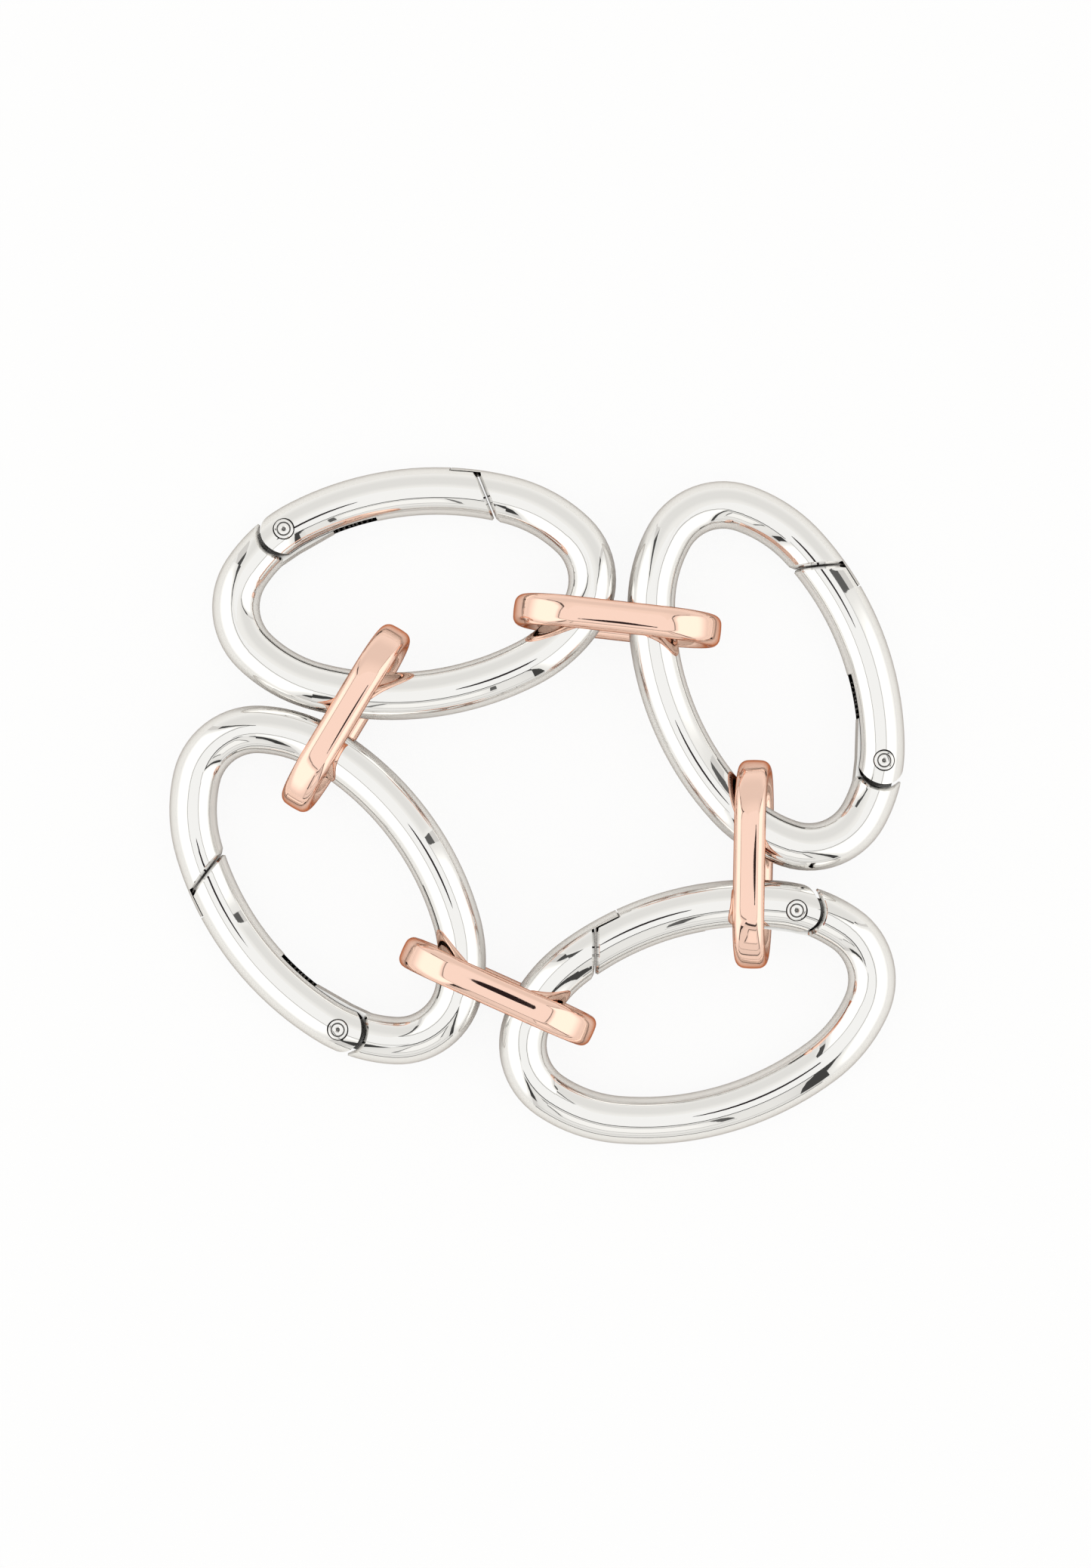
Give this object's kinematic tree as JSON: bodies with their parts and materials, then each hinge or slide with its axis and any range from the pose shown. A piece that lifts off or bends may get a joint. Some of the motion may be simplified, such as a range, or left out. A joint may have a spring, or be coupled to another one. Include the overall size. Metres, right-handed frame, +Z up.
{
  "type": "spring-gate ring chain",
  "caption": "Closed chain of oval spring-gate rings joined by obround links standing on edge; each gate is hinged on a rivet and opens inwards against a coil spring.",
  "frame": {"origin": "middle of the chain in plan, on the surface that it lies on", "axes": "+Z up from that surface; +X along the longer side of the laid chain, with ring a at -X +Y and ring b at +X +Y"},
  "size_m": [0.0774, 0.0714, 0.0108],
  "materials": {
    "rhodium_plate": "polished plate over a cast body",
    "rose_gold_plate": "polished plate",
    "spring_steel": "drawn wire"
  },
  "bodies": {
    "ring_a": {"ring_a_frame": "rhodium_plate"},
    "gate_a": {"ring_a_gate": "rhodium_plate", "ring_a_rivet": "rhodium_plate", "ring_a_spring": "spring_steel"},
    "ring_b": {"ring_b_frame": "rhodium_plate"},
    "gate_b": {"ring_b_gate": "rhodium_plate", "ring_b_rivet": "rhodium_plate", "ring_b_spring": "spring_steel"},
    "ring_c": {"ring_c_frame": "rhodium_plate"},
    "gate_c": {"ring_c_gate": "rhodium_plate", "ring_c_rivet": "rhodium_plate", "ring_c_spring": "spring_steel"},
    "ring_d": {"ring_d_frame": "rhodium_plate"},
    "gate_d": {"ring_d_gate": "rhodium_plate", "ring_d_rivet": "rhodium_plate", "ring_d_spring": "spring_steel"},
    "link_ab": {"link_ab": "rose_gold_plate"},
    "link_bc": {"link_bc": "rose_gold_plate"},
    "link_cd": {"link_cd": "rose_gold_plate"},
    "link_da": {"link_da": "rose_gold_plate"}
  },
  "joints": [
    {"name": "chain_flex", "type": "hinge", "parent": "ring_a", "child": "link_ab", "pos_m": [0.00458, 0.01985, 0.00513], "axis": [0, 0, 1], "range_deg": [-2, 8]},
    {"name": "ring_b_turn", "type": "hinge", "parent": "link_ab", "child": "ring_b", "pos_m": [0.01208, 0.01901, 0.00513], "axis": [0, 0, 1], "range_deg": [-2.02, 8.02]},
    {"name": "link_bc_turn", "type": "hinge", "parent": "ring_b", "child": "link_bc", "pos_m": [0.02277, -0.00212, 0.0053], "axis": [0, 0, 1], "range_deg": [-8.09, 2.04]},
    {"name": "ring_c_turn", "type": "hinge", "parent": "link_bc", "child": "ring_c", "pos_m": [0.02263, -0.01022, 0.0053], "axis": [0, 0, 1], "range_deg": [-8.09, 2.04]},
    {"name": "link_da_turn", "type": "hinge", "parent": "ring_a", "child": "link_da", "pos_m": [-0.01855, 0.01168, 0.00513], "axis": [0, 0, 1], "range_deg": [-1.82, 7.24]},
    {"name": "ring_d_turn", "type": "hinge", "parent": "link_da", "child": "ring_d", "pos_m": [-0.02204, 0.00588, 0.00513], "axis": [0, 0, 1], "range_deg": [-1.82, 7.24]},
    {"name": "link_cd_turn", "type": "hinge", "parent": "ring_d", "child": "link_cd", "pos_m": [-0.00793, -0.01774, 0.00494], "axis": [0, 0, 1], "range_deg": [-7.31, 1.84]},
    {"name": "gate_a_open", "type": "hinge", "parent": "ring_a", "child": "gate_a", "pos_m": [-0.0265, 0.0288, 0.00261], "axis": [0.0443, -0.1253, -0.9911], "range_deg": [0, 20], "stiffness_Nm_per_rad": 0.0024, "springref_deg": -20.05, "deforming": ["ring_a_spring"]},
    {"name": "gate_b_open", "type": "hinge", "parent": "ring_b", "child": "gate_b", "pos_m": [0.03615, 0.00462, 0.00322], "axis": [0.1197, 0.0688, 0.9904], "range_deg": [0, 20], "stiffness_Nm_per_rad": 0.0024, "springref_deg": -20.05, "deforming": ["ring_b_spring"]},
    {"name": "gate_c_open", "type": "hinge", "parent": "ring_c", "child": "gate_c", "pos_m": [0.02705, -0.01061, 0.00504], "axis": [0.0479, -0.133, 0.99], "range_deg": [0, 20], "stiffness_Nm_per_rad": 0.0024, "springref_deg": -20.05, "deforming": ["ring_c_spring"]},
    {"name": "gate_d_open", "type": "hinge", "parent": "ring_d", "child": "gate_d", "pos_m": [-0.02063, -0.02331, 0.00303], "axis": [0.1157, 0.0768, -0.9903], "range_deg": [0, 20], "stiffness_Nm_per_rad": 0.0024, "springref_deg": -20.05, "deforming": ["ring_d_spring"]}
  ],
  "couplings": [
    {"joint": "ring_b_turn", "follows": "chain_flex", "ratio": 1},
    {"joint": "link_bc_turn", "follows": "chain_flex", "ratio": -1.0088},
    {"joint": "ring_c_turn", "follows": "chain_flex", "ratio": -1.0088},
    {"joint": "link_da_turn", "follows": "chain_flex", "ratio": 0.90275},
    {"joint": "ring_d_turn", "follows": "chain_flex", "ratio": 0.90275},
    {"joint": "link_cd_turn", "follows": "chain_flex", "ratio": -0.91159}
  ]
}
